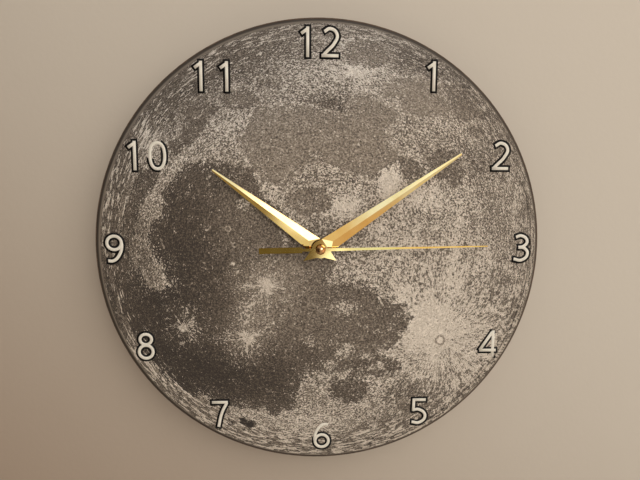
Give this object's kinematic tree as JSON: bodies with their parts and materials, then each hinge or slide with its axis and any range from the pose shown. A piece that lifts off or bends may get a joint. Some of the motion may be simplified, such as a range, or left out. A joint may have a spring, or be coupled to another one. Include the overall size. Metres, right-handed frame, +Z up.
{
  "type": "wall clock",
  "caption": "Round wall clock: moon dial board with plain numerals, three gold hands turned by a geared quartz movement, and a hanger eye behind.",
  "frame": {"origin": "on the hands' axis, on the wall plane that the movement's back cover rests against", "axes": "+Z up, +X to the right as one reads the dial, +Y into the wall, so the dial faces -Y"},
  "size_m": [0.3, 0.0341, 0.3],
  "materials": {
    "dial_board": "flat board with a matt printed moon picture",
    "gold": "bright polished gold tone",
    "gold_light": "bright gold anodised sheet",
    "cap_gold": "mirror polished red gold",
    "brass_turned": "turned brass",
    "steel_zinc": "zinc plated pressed steel",
    "steel_pin": "ground steel",
    "black_rubber": "matt black rubber",
    "black_plastic": "fine matt black moulding",
    "white_gear": "natural white acetal",
    "black_gear": "black acetal",
    "magnet": "sintered magnet",
    "stator_iron": "stamped soft iron",
    "copper_wire": "enamelled copper winding",
    "bobbin_plastic": "cream moulding",
    "board_green": "printed circuit laminate",
    "chip_resin": "black resin drop",
    "contact_nickel": "nickel plated spring strip",
    "cell_sleeve": "plain dark sleeve on a steel can",
    "knob_red": "red moulding"
  },
  "bodies": {
    "movement": {"moon_dial": "dial_board", "threaded_bushing": "brass_turned", "fixing_nut": "brass_turned", "metal_washer": "brass_turned", "rubber_washer": "black_rubber", "hanger_plate": "steel_zinc", "movement_case": "black_plastic", "back_cover": "black_plastic", "middle_plate": "white_gear", "plate_screws": "steel_zinc", "stator": "stator_iron", "coil_core": "stator_iron", "coil_bobbin": "bobbin_plastic", "coil_winding": "copper_wire", "coil_screws": "steel_zinc", "circuit_board": "board_green", "clock_chip": "chip_resin", "crystal_can": "steel_pin", "positive_contact": "contact_nickel", "negative_contact": "contact_nickel", "battery_cell": "cell_sleeve"},
    "minute_train": {"minute_tube": "brass_turned", "centre_wheel": "white_gear", "minute_hand": "gold"},
    "hour_train": {"hour_wheel": "black_gear", "hour_hand": "gold"},
    "second_train": {"second_wheel": "white_gear", "second_arbor": "steel_pin", "second_hand": "gold_light", "second_hand_cap": "cap_gold"},
    "third_train": {"third_wheel": "white_gear"},
    "intermediate_train": {"intermediate_wheel": "white_gear"},
    "rotor_train": {"rotor_pinion": "white_gear", "rotor_magnet": "magnet"},
    "minute_wheel_train": {"minute_wheel": "white_gear"},
    "setting_train": {"setting_gear": "black_gear", "setting_knob": "knob_red"}
  },
  "joints": [
    {"name": "minute_turn", "type": "hinge", "parent": "movement", "child": "minute_train", "pos_m": [0, -0.008, 0], "axis": [0, 1, 0], "continuous": true},
    {"name": "hour_turn", "type": "hinge", "parent": "movement", "child": "hour_train", "pos_m": [0, -0.008, 0], "axis": [0, 1, 0], "continuous": true},
    {"name": "second_turn", "type": "hinge", "parent": "movement", "child": "second_train", "pos_m": [0, -0.008, 0], "axis": [0, 1, 0], "continuous": true},
    {"name": "third_turn", "type": "hinge", "parent": "movement", "child": "third_train", "pos_m": [0.00958, -0.008, 0.00349], "axis": [0, 1, 0], "continuous": true},
    {"name": "intermediate_turn", "type": "hinge", "parent": "movement", "child": "intermediate_train", "pos_m": [-0.00359, -0.008, 0.00987], "axis": [0, 1, 0], "continuous": true},
    {"name": "rotor_turn", "type": "hinge", "parent": "movement", "child": "rotor_train", "pos_m": [-0.01245, -0.008, 0.01143], "axis": [0, 1, 0], "continuous": true},
    {"name": "minute_wheel_turn", "type": "hinge", "parent": "movement", "child": "minute_wheel_train", "pos_m": [-0.01004, -0.008, -0.00088], "axis": [0, 1, 0], "continuous": true},
    {"name": "setting_turn", "type": "hinge", "parent": "movement", "child": "setting_train", "pos_m": [-0.02018, -0.008, 0.00184], "axis": [0, 1, 0], "continuous": true}
  ],
  "couplings": [
    {"joint": "hour_turn", "follows": "minute_turn", "ratio": 0.083333},
    {"joint": "second_turn", "follows": "minute_turn", "ratio": 60},
    {"joint": "third_turn", "follows": "minute_turn", "ratio": -8},
    {"joint": "intermediate_turn", "follows": "minute_turn", "ratio": -360},
    {"joint": "rotor_turn", "follows": "minute_turn", "ratio": 1800},
    {"joint": "minute_wheel_turn", "follows": "minute_turn", "ratio": -0.33333},
    {"joint": "setting_turn", "follows": "minute_turn", "ratio": 0.85714}
  ]
}
